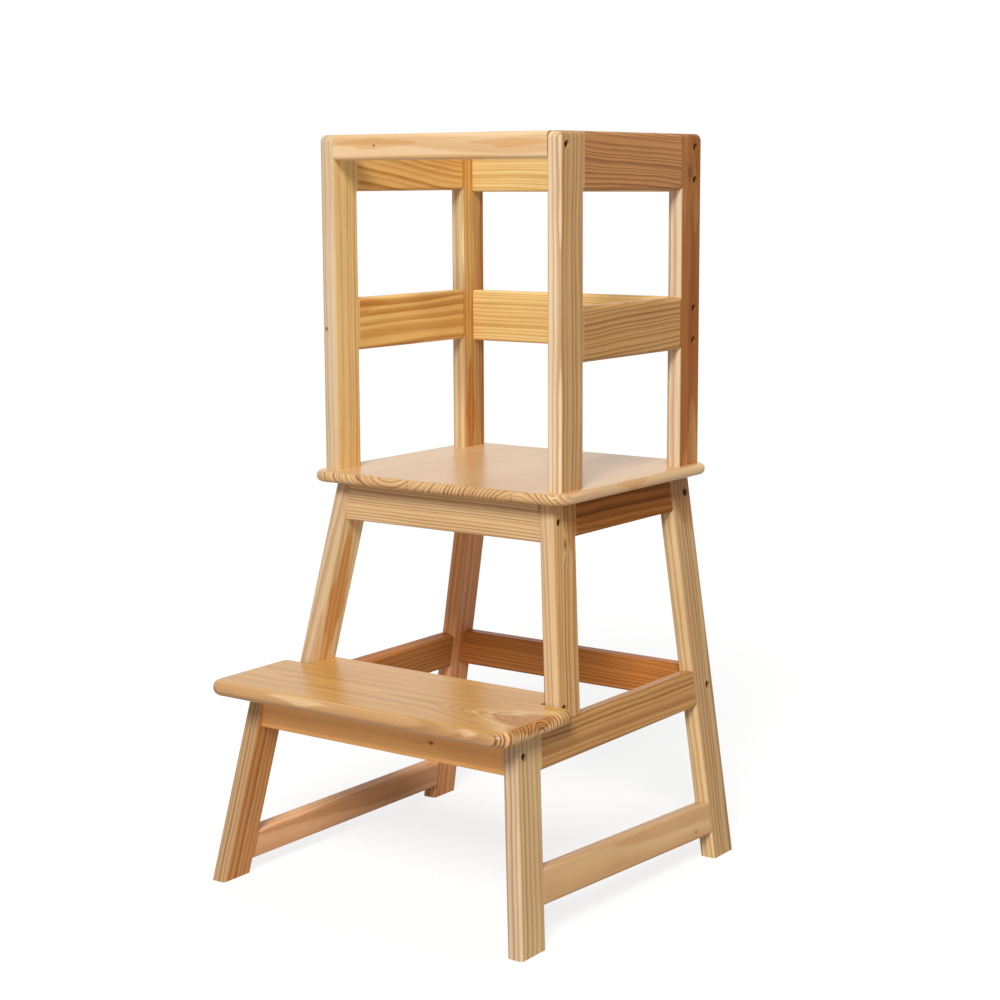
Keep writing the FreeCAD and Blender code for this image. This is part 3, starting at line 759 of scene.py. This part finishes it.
@dataclass
class GuardCage(BoardSet):
    """Posts and rails of the guard cage."""

    boards: Tuple[Board, ...] = (
        Board("cage_post_front_right", Sawn(Lie.UPRIGHT_SIDE, (-70, 42), (0, 0.004), 4.2, 2.5, 1),
              PineFinish((215, 173, 118), (154, 102, 51), edge=(241, 216, 181))),
        Board("cage_post_front_left", Sawn(Lie.UPRIGHT_SIDE, (60, -36), (0, 0.004), 5.2, 2.5, 2),
              PineFinish((249, 213, 148), (216, 168, 98), edge=(220, 197, 165)),
              (Knot((-0.1659, -0.07295, 0.6554), (2.2, 4, 3), 3),)),
        Board("cage_post_rear_right",
              Sawn(Lie.UPRIGHT_SIDE, (-110, 30), (0, 0.01), 9, 3, 3, 0.3, 0.3),
              PineFinish((172, 109, 52), (148, 84, 35), edge=(227, 205, 173), tone_share=0.2,
                         sheen=0.08),
              (Knot((0.1726, 0.2029, 0.839), (5, 6, 11), 8),),
              flames_and_shade=(FlameAndShade((0.1726, 0.214, 0.45), (5, 36, 128), (1.42, 1.85, 2.7)),
                      FlameAndShade((0.1726, 0.192, 0.85), (5, 10, 90), (1.2, 1.45, 1.8), 0.8),
                      FlameAndShade((0.1726, 0.217, 0.8), (5, 9, 45), (1.25, 1.6, 2), 0.8),
                      FlameAndShade((0.1726, 0.212, 0.69), (12, 14, 100), (0.98, 0.88, 0.74), 0.8))),
        Board("cage_post_rear_left", Sawn(Lie.UPRIGHT_SIDE, (60, 40), (0, 0), 4.6, 2.5, 4),
              PineFinish((216, 165, 94), (178, 118, 50), edge=(222, 195, 152)),
              flames_and_shade=(FlameAndShade((-0.1531, 0.195, 0.75), (5, 13, 200), (1.24, 1.4, 1.52)),
                      FlameAndShade((-0.1531, 0.199, 0.535), (5, 12, 75), (0.9, 0.66, 0.42)),
                      # The last patch is painted shade that the back rails cast on the post's
                      # inner face.
                      FlameAndShade((-0.1531, 0.224, 0.66), (5, 12, 260), (0.78, 0.6, 0.4), 0.8))),
        Board("cage_handrail_front", Sawn(Lie.CROSS, (-46, -52), (0, 0.035), 13, 8, 5, 0.5, 0.3),
              PineFinish((238, 206, 162), (214, 166, 112), contrast=0.6, tone_share=0.2,
                         streak_share=0.12),
              (Knot((-0.0908, -0.07095, 0.8709), (3, 1.6, 2), 2),),
              flames_and_shade=(FlameAndShade((-0.093, -0.071, 0.873), (12, 8, 72), (0.93, 0.82, 0.68)),
                      FlameAndShade((0.104, -0.071, 0.872), (12, 7, 66), (0.93, 0.82, 0.68)),
                      FlameAndShade((0.006, -0.071, 0.857), (12, 3.5, 130), (0.92, 0.8, 0.66)))),
        Board("cage_top_rail_back", Sawn(Lie.CROSS, (16, 120), (0, 0.012), 5.6, 3, 6),
              PineFinish((238, 207, 142), (202, 159, 89))),
        Board("cage_middle_rail_back", Sawn(Lie.CROSS, (16, -120), (0, 0.01), 5.6, 3, 7),
              PineFinish((255, 223, 154), (218, 172, 96))),
        Board("cage_top_rail_left", Sawn(Lie.DEEP_SIDE, (-34, 80), (0, 0.14), 6.4, 5, 8),
              PineFinish((251, 199, 120), (198, 136, 61))),
        Board("cage_middle_rail_left",
              Sawn(Lie.DEEP_SIDE, (-38, -66), (0, -0.03), 10.5, 4, 9.3, 0.7, 0.3),
              PineFinish((252, 207, 125), (201, 135, 56), contrast=0.85),
              flames_and_shade=(FlameAndShade((-0.1531, -0.02, 0.682), (12, 12, 52), (0.93, 0.8, 0.66)),)),
        Board("cage_top_rail_right",
              Sawn(Lie.DEEP_SIDE, (-40, 110), (0, 0.05), 4.6, 5, 10, 0, 0.2),
              PineFinish((204, 146, 83), (144, 85, 38))),
        Board("cage_middle_rail_right",
              Sawn(Lie.DEEP_SIDE, (-40, 110), (0, -0.04), 5, 3.5, 11, 0, 0.2),
              PineFinish((208, 159, 96), (150, 102, 50))),
    )


@dataclass
class Platform(BoardSet):
    """Platform of edge-glued strips with their grain front to back."""

    boards: Tuple[Board, ...] = (Board(
        "platform_board", Sawn(Lie.LEVEL_DEEP, (46, -62), (0, 0.01), 4.4, 2, 12),
        PineFinish((223, 185, 133), (152, 102, 60), contrast=0.2, end_contrast=1.15,
                   tone_share=0.16, streak_share=0.1, end_shade=0, gloss=0.3, coat=0.12,
                   sheen=0.4),
        staves=(Stave(-106, (44, -58), 12, 0.12), Stave(-32, (46, -54), 12.2, 0),
                Stave(46, (-34, 126), 12.5, 0.16), Stave(118, (-36, 127), 12.5, 0.05)),
        flames_and_shade=(FlameAndShade((0.185, 0.06, 0.483), (12, 12, 42), (0.93, 0.8, 0.62)),)),)


@dataclass
class StepBoard(BoardSet):
    """Step board of edge-glued strips with their grain from side to side."""

    boards: Tuple[Board, ...] = (Board(
        "step_board", Sawn(Lie.LEVEL_CROSS, (-41, 26), (0, 0), 4.2, 2, 13, bend=(70, 0.34)),
        PineFinish((226, 177, 100), (150, 90, 46), edge=(198, 156, 106), edge_from=50,
                   contrast=0.48, end_contrast=1.8,
                   tone_share=0.25, streak_share=0.2, end_shade=0, gloss=0.32, coat=0.08,
                   sheen=0.36),
        staves=(Stave(-42, (-44, 20), 13.3, 0.1),),
        flames_and_shade=(FlameAndShade((-0.075, -0.243, 0.249), (9, 5, 60), (1.28, 1.5, 1.9)),
                FlameAndShade((0.165, -0.242, 0.249), (9, 4, 19), (1.28, 1.5, 1.9)),
                FlameAndShade((0.232, -0.18, 0.25), (30, 79, 122), (1.26, 1.52, 2.15)),
                FlameAndShade((0.234, -0.178, 0.2513), (13, 58, 98), (0.66, 0.43, 0.18)))),)


@dataclass
class BaseFrame(BoardSet):
    """Legs, rails, stretchers and aprons of the leaning base."""

    boards: Tuple[Board, ...] = (
        Board("rear_leg_right", Sawn(Lie.LEAN_LEG_RIGHT, (-60, 42), (0, 0.01), 4.6, 2.5, 20),
              PineFinish((205, 167, 117), (144, 105, 61), edge=(224, 193, 146)),
              # The patch at the leg's top is painted shade from the platform above it.
              flames_and_shade=(FlameAndShade((0.1605, 0.212, 0.47), (14, 44, 92), (0.74, 0.55, 0.38)),)),
        Board("rear_leg_left", Sawn(Lie.LEAN_LEG_LEFT, (-60, 42), (0, 0.01), 4.6, 2.5, 21),
              PineFinish((242, 174, 117), (188, 121, 74))),
        Board("upper_front_leg_right",
              Sawn(Lie.FRONT_LEG_RIGHT, (-56, 46), (0, 0.006), 5.2, 2.5, 22),
              PineFinish((217, 173, 114), (153, 104, 53), edge=(220, 190, 149)),
              (Knot((0.1653, -0.0527, 0.4234), (4, 2.2, 7), 5),),
              # The patch at the leg's top is painted shade from the platform above it.
              flames_and_shade=(FlameAndShade((0.159, -0.031, 0.472), (14, 20, 78), (0.82, 0.62, 0.4)),)),
        Board("upper_front_leg_left",
              Sawn(Lie.FRONT_LEG_LEFT, (-30, 44), (0, 0.05), 12, 5, 23, 0.5, 0.3),
              PineFinish((252, 225, 169), (204, 147, 86), edge=(208, 183, 148), contrast=0.6),
              flames_and_shade=(FlameAndShade((-0.16, -0.07, 0.325), (14, 17, 120), (0.86, 0.58, 0.34)),)),
        Board("step_leg_right", Sawn(Lie.FRONT_LEG_RIGHT, (-60, 40), (0, 0), 4.4, 2, 24),
              PineFinish((218, 185, 137), (171, 131, 85), edge=(213, 187, 155))),
        Board("step_leg_left", Sawn(Lie.FRONT_LEG_LEFT, (-60, 40), (0, 0), 4.8, 2.5, 25),
              PineFinish((218, 158, 96), (165, 98, 43), edge=(191, 159, 119))),
        Board("side_rail_right", Sawn(Lie.LEAN_RAIL_RIGHT, (-30, -60), (0, 0.01), 5.6, 3, 26),
              PineFinish((201, 151, 89), (145, 89, 40))),
        Board("side_rail_left", Sawn(Lie.LEAN_RAIL_LEFT, (-40, 40), (0, 0.02), 5.6, 4, 27),
              PineFinish((196, 130, 68), (152, 90, 38), sheen=0.12)),
        # The colours of this apron are partly its own darker wood and partly painted shade from
        # the platform above it.
        Board("upper_apron_right",
              Sawn(Lie.LEAN_RAIL_RIGHT, (-36, -50), (0, 0.02), 7, 4, 28, 0.4, 0.3),
              PineFinish((178, 114, 57), (128, 77, 31), coat=0, sheen=0.02)),
        Board("upper_apron_left", Sawn(Lie.LEAN_RAIL_LEFT, (-40, 60), (0, 0.01), 5.2, 3, 29),
              PineFinish((222, 166, 110), (178, 118, 66))),
        Board("bottom_stretcher_right",
              Sawn(Lie.LEAN_RAIL_RIGHT, (-70, -20), (0.02, 0), 9, 4, 30, 0.3, 0.4),
              PineFinish((218, 181, 132), (195, 143, 93), contrast=0.7),
              (Knot((0.2222, 0.1485, 0.0427), (5, 1.6, 2.4), 3),)),
        Board("bottom_stretcher_left",
              Sawn(Lie.LEAN_RAIL_LEFT, (-70, 20), (0.02, 0), 9, 4, 31, 0.3, 0.4),
              PineFinish((246, 194, 146), (216, 154, 104), contrast=0.7)),
        Board("upper_apron_front", Sawn(Lie.CROSS, (-14, 130), (0, 0.01), 4.3, 1.8, 32, 0, 0.4),
              PineFinish((224, 193, 149), (176, 135, 85))),
        Board("upper_apron_back", Sawn(Lie.CROSS, (-14, 130), (0, 0.01), 4.3, 1.8, 33),
              PineFinish((236, 190, 134), (188, 132, 76))),
        Board("step_apron", Sawn(Lie.CROSS, (10, -61), (0, 0), 15, 4, 34, 0.6, 1),
              PineFinish((252, 187, 112), (236, 176, 110)),
              (Knot((0.0758, -0.18844, 0.2093), (4, 2.6, 4), 4),)),
        Board("back_rail_middle", Sawn(Lie.CROSS, (10, 90), (0, 0.012), 5, 3, 35),
              PineFinish((199, 130, 65), (153, 87, 35))),
    )


@dataclass
class Dowels:
    """Plain beech dowels of the glued joints."""

    nodes: Tuple[str, ...] = ("cage_frame_dowels", "base_frame_dowels", "step_board_dowels")
    colour: Triple = (222, 180, 132)
    dark: Triple = (196, 148, 100)
    fleck: Triple = (1.6, 0.5, 1.6)
    seed: float = 40.0
    gloss: float = 0.62

    def dress(self, groups: WoodGroups) -> None:
        """Give the dowels unvarnished beech with its short flecks.

        Args:
            groups: Shared shader groups.
        """
        material, s = new_material("beech_dowels")
        place = s.vector("SCALE", s.node("ShaderNodeTexCoord").outputs["Object"],
                         scale=1.0 / MM)
        fibre = s.group(groups.fibre, Vector=place, Seed=self.seed).outputs
        fleck = s.remap(s.noise(s.vector("MULTIPLY", place, self.fleck)), 0.52, 0.68)
        wood = s.group(groups.colour, Early=srgb(self.colour), Late=srgb(self.dark),
                       Late_Mask=fleck, Streak=fibre["Streak"], Tone=fibre["Tone"],
                       Gloss=self.gloss).outputs
        s.show(s.fill(s.node("ShaderNodeBsdfPrincipled"), Base_Color=wood["Colour"],
                      Roughness=wood["Roughness"]))
        for name in self.nodes:
            finish_node(name, material)
            log.info("%s: beech", name)


class BoltRow(Enum):
    """Rows of socket bolts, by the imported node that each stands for."""

    CAGE = "cage_bolts"
    BASE = "base_bolts"
    STEP_BOARD = "step_board_bolts"
    POST_FEET = "post_foot_bolts"
    PLATFORM = "platform_bolts"


@dataclass(frozen=True)
class DarkSteel:
    """Blackened steel of the bolts: dark, part rough, with worn lighter specks."""

    colour: Triple = (70, 48, 32)
    worn: Triple = (112, 84, 60)
    roughness: float = 0.62
    roughness_spread: float = 0.20
    specks: float = 900.0

    def material(self) -> Material:
        """Make the steel.

        Returns:
            The material.
        """
        material, s = new_material("blackened_steel")
        speck = s.noise(s.node("ShaderNodeTexCoord").outputs["Object"], scale=self.specks)
        colour = s.mix(s.remap(speck, 0.52, 0.72), srgb(self.colour), srgb(self.worn))
        rough = s.mul_add(speck, self.roughness_spread,
                          self.roughness - self.roughness_spread / 2)
        s.show(s.fill(s.node("ShaderNodeBsdfPrincipled"), Base_Color=colour, Metallic=1.0,
                      Roughness=rough))
        return material


@dataclass
class SocketBolts:
    """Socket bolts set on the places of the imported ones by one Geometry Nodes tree."""

    head_radius: float = 4.4 * MM
    head_height: float = 4.0 * MM
    rim: float = 0.4 * MM
    shank_radius: float = 2.5 * MM
    shank_length: float = 46.0 * MM
    socket_width: float = 4.0 * MM
    socket_depth: float = 2.5 * MM
    head_sides: int = 48
    shank_sides: int = 24
    steel: DarkSteel = field(default_factory=DarkSteel)

    SIZES = ("Head Radius", "Head Height", "Rim", "Shank Radius", "Shank Length",
             "Socket Width", "Socket Depth")
    HEXAGON = 6
    # Where a packed bolt's end face is looked for: head radii from a corner, and its depth.
    END_REACH = 2.3
    END_SLICE = 1.2 * MM
    # Depth beside each end in which the bolt's width is measured.
    RIM_SLICE = 1.0 * MM
    # Steps for each metre by which points are told apart.
    POINT_STEPS = 1e6

    def _lifted(self, s: Sketch, shape: Node, height: Feed) -> Socket:
        """Move a node's mesh to a height."""
        move = s.fill(s.node("GeometryNodeTransform"), Geometry=shape.outputs["Mesh"],
                      Translation=s.join(0.0, 0.0, height))
        return move.outputs["Geometry"]

    def _cylinder(self, s: Sketch, sides: int, radius: Feed, depth: Feed, top: Feed) -> Socket:
        """Add an upright cylinder whose top is at the given height."""
        shape = s.fill(s.node("GeometryNodeMeshCylinder"), Vertices=sides, Radius=radius,
                       Depth=depth)
        return self._lifted(s, shape, s.sub(top, s.mul(depth, 0.5)))

    def tree(self) -> NodeTree:
        """Draw the tree: one bolt from its sizes, set on every point of the row.

        Returns:
            The geometry node tree.
        """
        tree = bpy.data.node_groups.new("socket bolt row", "GeometryNodeTree")
        kinds = {"Places": "Geometry", **dict.fromkeys(self.SIZES, "Float"), "Steel": "Material"}
        for name, kind in kinds.items():
            tree.interface.new_socket(name=name, in_out="INPUT", socket_type="NodeSocket" + kind)
        tree.interface.new_socket(name="Bolts", in_out="OUTPUT",
                                  socket_type="NodeSocketGeometry")
        s = Sketch(tree)
        size = s.node("NodeGroupInput").outputs
        under_rim = s.mul(size["Rim"], -1.0)
        side = self._cylinder(s, self.head_sides, size["Head Radius"],
                              s.sub(size["Head Height"], size["Rim"]), under_rim)
        cone = s.node("GeometryNodeMeshCone")
        s.fill(cone, Vertices=self.head_sides, Radius_Top=s.sub(size["Head Radius"], size["Rim"]),
               Radius_Bottom=size["Head Radius"], Depth=size["Rim"])
        head = s.node("GeometryNodeMeshBoolean", operation="UNION")
        for part in (side, self._lifted(s, cone, under_rim)):
            s.feed(head.inputs["Mesh 2"], part)
        corner = s.math("DIVIDE", size["Socket Width"], math.sqrt(3.0))
        socket = self._cylinder(s, self.HEXAGON, corner, s.mul(size["Socket Depth"], 2.0),
                                size["Socket Depth"])
        cut = s.fill(s.node("GeometryNodeMeshBoolean", operation="DIFFERENCE"),
                     Mesh_1=head.outputs["Mesh"], Mesh_2=socket)
        shank = self._cylinder(s, self.shank_sides, size["Shank Radius"], size["Shank Length"],
                               s.mul(size["Head Height"], -1.0))
        bolt = s.node("GeometryNodeJoinGeometry")
        for part in (cut.outputs["Mesh"], shank):
            s.feed(bolt.inputs[0], part)
        outward = s.fill(s.node("GeometryNodeInputNamedAttribute", data_type="FLOAT_VECTOR"),
                         Name="outward").outputs["Attribute"]
        turn = s.fill(s.node("FunctionNodeAlignRotationToVector", axis="Z"), Vector=outward)
        row = s.fill(s.node("GeometryNodeInstanceOnPoints"), Points=size["Places"],
                     Instance=bolt.outputs[0], Rotation=turn.outputs["Rotation"])
        real = s.fill(s.node("GeometryNodeRealizeInstances"), row.outputs["Instances"])
        steel = s.fill(s.node("GeometryNodeSetMaterial"), Geometry=real.outputs["Geometry"],
                       Material=size["Steel"])
        s.fill(s.node("NodeGroupOutput"), Bolts=steel.outputs["Geometry"])
        return tree

    def _solids(self, mesh: Mesh) -> List[List[Vector]]:
        """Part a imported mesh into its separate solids.

        Args:
            mesh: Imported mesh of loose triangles.

        Returns:
            The points of each solid.
        """
        owner = list(range(len(mesh.vertices)))

        def top(index: int) -> int:
            """Follow a point to the first one of its solid.

            Args:
                index: The point.

            Returns:
                The first point.
            """
            while owner[index] != index:
                owner[index] = owner[owner[index]]
                index = owner[index]
            return index

        seen: Dict[Tuple[int, ...], int] = {}
        for vertex in mesh.vertices:
            key = tuple(round(part * self.POINT_STEPS) for part in vertex.co)
            owner[top(vertex.index)] = top(seen.setdefault(key, vertex.index))
        for edge in mesh.edges:
            owner[top(edge.vertices[0])] = top(edge.vertices[1])
        solids: Dict[int, List[Vector]] = {}
        for vertex in mesh.vertices:
            solids.setdefault(top(vertex.index), []).append(vertex.co.copy())
        return [solids[key] for key in sorted(solids)]

    def _seat(self, points: Sequence[Vector]) -> Tuple[Vector, Vector]:
        """Find where a packed bolt's head ends and which way it looks.

        Args:
            points: The bolt's points.

        Returns:
            Middle of the head's outer face, and the way out from the wood.
        """
        far = max(points, key=lambda point: (point - points[0]).length)
        near = max(points, key=lambda point: (point - far).length)

        def end(corner: Vector, other: Vector) -> Vector:
            """Find the middle of the bolt's end face at a corner.

            Args:
                corner: Point on that face's rim.
                other: Point on the other face's rim.

            Returns:
                The face's middle.
            """
            reach = (corner - other).length - self.END_SLICE
            face = [point for point in points if (point - other).length > reach
                    and (point - corner).length < self.head_radius * self.END_REACH]
            return sum(face, Vector()) / len(face)

        axis = (end(far, near) - end(near, far)).normalized()
        middle = sum(points, Vector()) / len(points)
        steps = [(point - middle).dot(axis) for point in points]

        def width(at: float) -> float:
            """Give the bolt's greatest reach from its axis beside one end."""
            return max((point - middle - axis * step).length
                       for point, step in zip(points, steps) if abs(step - at) < self.RIM_SLICE)

        outward = axis if width(max(steps)) > width(min(steps)) else -axis
        low, high = (Vector(pick(point[i] for point in points) for i in range(3))
                     for pick in (min, max))
        length = self.head_height + self.shank_length
        return (low + high) / 2 + outward * length / 2, outward

    def build(self) -> None:
        """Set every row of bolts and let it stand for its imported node."""
        tree = self.tree()
        values = {name: getattr(self, name.lower().replace(" ", "_")) for name in self.SIZES}
        values["Steel"] = self.steel.material()
        for row in BoltRow:
            seats = [self._seat(points) for points in self._solids(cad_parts[row.value].data)]
            mesh = bpy.data.meshes.new(row.value + "_places")
            mesh.from_pydata([tuple(place) for place, _ in seats], [], [])
            outward = mesh.attributes.new("outward", "FLOAT_VECTOR", "POINT")
            for item, (_, way) in zip(outward.data, seats):
                item.vector = way
            carrier = new_object(row.value + "_carrier", mesh)
            modifier = carrier.modifiers.new("bolts", "NODES")
            modifier.node_group = tree
            for socket in tree.interface.items_tree:
                if socket.item_type == "SOCKET" and socket.name in values:
                    modifier[socket.identifier] = values[socket.name]
            depsgraph = bpy.context.evaluated_depsgraph_get()
            solid = bpy.data.meshes.new_from_object(carrier.evaluated_get(depsgraph))
            carrier.modifiers.clear()
            bpy.data.objects.remove(carrier)
            piece = new_object("socket_" + row.value, solid)
            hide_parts(row.value)
            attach(piece, "root")
            log.info("%s: %d bolts", row.value, len(seats))


@dataclass
class Studio:
    """Pale floor, white surroundings, key light, soft fill and the camera."""

    camera_place: Triple = (1.4301, -1.9302, 0.8312)
    camera_turn: float = 35.83
    camera_drop: float = 8.95
    camera_roll: float = -0.27
    lens: float = 73.26
    sensor: float = 36.0
    clip: Pair = (0.05, 60.0)
    key_from: Triple = (0.50, -1.0, 0.92)
    key_strength: float = 3.0
    key_softness: float = 20.0
    key_colour: Triple = (1.0, 0.985, 0.96)
    sky: float = 0.32
    floor_half: float = 9.0
    floor_shade: float = 0.62
    floor_seen: float = 0.24
    floor_glow: float = 0.80

    def _plain(self, s: Sketch, kind: str, grey: float, **named: Feed) -> Socket:
        """Add a shader of one grey and return its output."""
        return s.fill(s.node(kind), Color=(grey, grey, grey, 1.0), **named).outputs[0]

    def floor(self) -> None:
        """Make the pale floor, which keeps the stool's shadow and looks white."""
        mesh = bpy.data.meshes.new("studio_floor")
        half = self.floor_half
        mesh.from_pydata([(-half, -half, 0.0), (half, -half, 0.0), (half, half, 0.0),
                          (-half, half, 0.0)], [], [(0, 1, 2, 3)])
        item = new_object("studio_floor", mesh)
        material, s = new_material("studio_floor_paint")
        matt = self._plain(s, "ShaderNodeBsdfDiffuse", self.floor_shade)
        seen = self._plain(s, "ShaderNodeBsdfDiffuse", self.floor_seen)
        glow = self._plain(s, "ShaderNodeEmission", 1.0, Strength=self.floor_glow)
        both = s.fill(s.node("ShaderNodeAddShader"), seen, glow).outputs[0]
        path = s.node("ShaderNodeLightPath").outputs
        s.show(s.fill(s.node("ShaderNodeMixShader"), path["Is Camera Ray"], matt, both))
        mesh.materials.append(material)

    def surroundings(self) -> None:
        """Make the plain sky: white to the camera, softer as light on the stool."""
        world = bpy.data.worlds.new("studio_sky")
        world.use_nodes = True
        bpy.context.scene.world = world
        world.node_tree.nodes.clear()
        s = Sketch(world.node_tree)
        light = self._plain(s, "ShaderNodeBackground", 1.0, Strength=self.sky)
        white = self._plain(s, "ShaderNodeBackground", 1.0, Strength=1.0)
        path = s.node("ShaderNodeLightPath").outputs
        seen = s.math("MAXIMUM", path["Is Camera Ray"], path["Is Glossy Ray"])
        seen = s.math("MAXIMUM", seen, path["Is Transmission Ray"])
        s.show(s.fill(s.node("ShaderNodeMixShader"), seen, light, white),
               "ShaderNodeOutputWorld")

    def key_light(self) -> None:
        """Hang the key light to the right, in front and above."""
        lamp = bpy.data.lights.new("key_light", "SUN")
        lamp.energy = self.key_strength
        lamp.angle = math.radians(self.key_softness)
        lamp.color = self.key_colour
        item = new_object("key_light", lamp)
        item.rotation_mode = "QUATERNION"
        item.rotation_quaternion = Vector(self.key_from).to_track_quat("Z", "Y")
        item.location = Vector(self.key_from) * 2.0

    def camera(self) -> None:
        """Set the camera where the photographer stood."""
        turn, drop, roll = map(math.radians,
                               (self.camera_turn, self.camera_drop, self.camera_roll))
        ahead = Vector((-math.sin(turn) * math.cos(drop), math.cos(turn) * math.cos(drop),
                        -math.sin(drop)))
        right = ahead.cross(Vector((0.0, 0.0, 1.0))).normalized()
        up = right.cross(ahead)
        level_right = right * math.cos(roll) + up * math.sin(roll)
        level_up = up * math.cos(roll) - right * math.sin(roll)
        lens = bpy.data.cameras.new("photo_camera")
        lens.lens = self.lens
        lens.sensor_width = self.sensor
        lens.clip_start, lens.clip_end = self.clip
        item = new_object("photo_camera", lens)
        axes = Matrix((level_right, level_up, -ahead)).transposed().to_4x4()
        item.matrix_world = Matrix.Translation(Vector(self.camera_place)) @ axes
        bpy.context.scene.camera = item

    def build(self) -> None:
        """Set up the whole studio."""
        self.floor()
        self.surroundings()
        self.key_light()
        self.camera()
        bpy.context.scene.view_settings.view_transform = "Standard"
        log.info("studio: floor, sky, key light and camera")


def main() -> None:
    """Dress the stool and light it."""
    logging.basicConfig(level=logging.INFO, format="%(name)s: %(message)s")
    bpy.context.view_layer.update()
    groups = WoodGroups()
    for part in (GuardCage(), Platform(), StepBoard(), BaseFrame(), Dowels()):
        part.dress(groups)
    SocketBolts().build()
    Studio().build()


if __name__ == "__main__":
    main()
